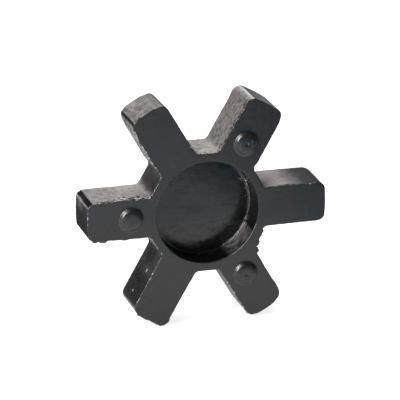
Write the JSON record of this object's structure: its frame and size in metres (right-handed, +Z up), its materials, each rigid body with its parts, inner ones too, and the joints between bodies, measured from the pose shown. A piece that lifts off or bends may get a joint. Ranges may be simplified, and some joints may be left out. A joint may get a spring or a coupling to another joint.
{
  "type": "jaw coupling spider",
  "caption": "Moulded black rubber star insert that sits between the jawed hubs of a shaft coupling, with a round blind centre pocket and small raised spacer buttons.",
  "frame": {"origin": "on the coupling's axis, halfway between the two faces", "axes": "-Y along the coupling's axis, out of the face that has the pocket; +X along a leg that has no button on that face; +Z up, with the star standing on its two lower legs"},
  "size_m": [0.0536, 0.0128, 0.0498],
  "materials": {
    "rubber": "satin, as moulded"
  },
  "bodies": {
    "root": {"spider": "rubber"}
  },
  "joints": []
}
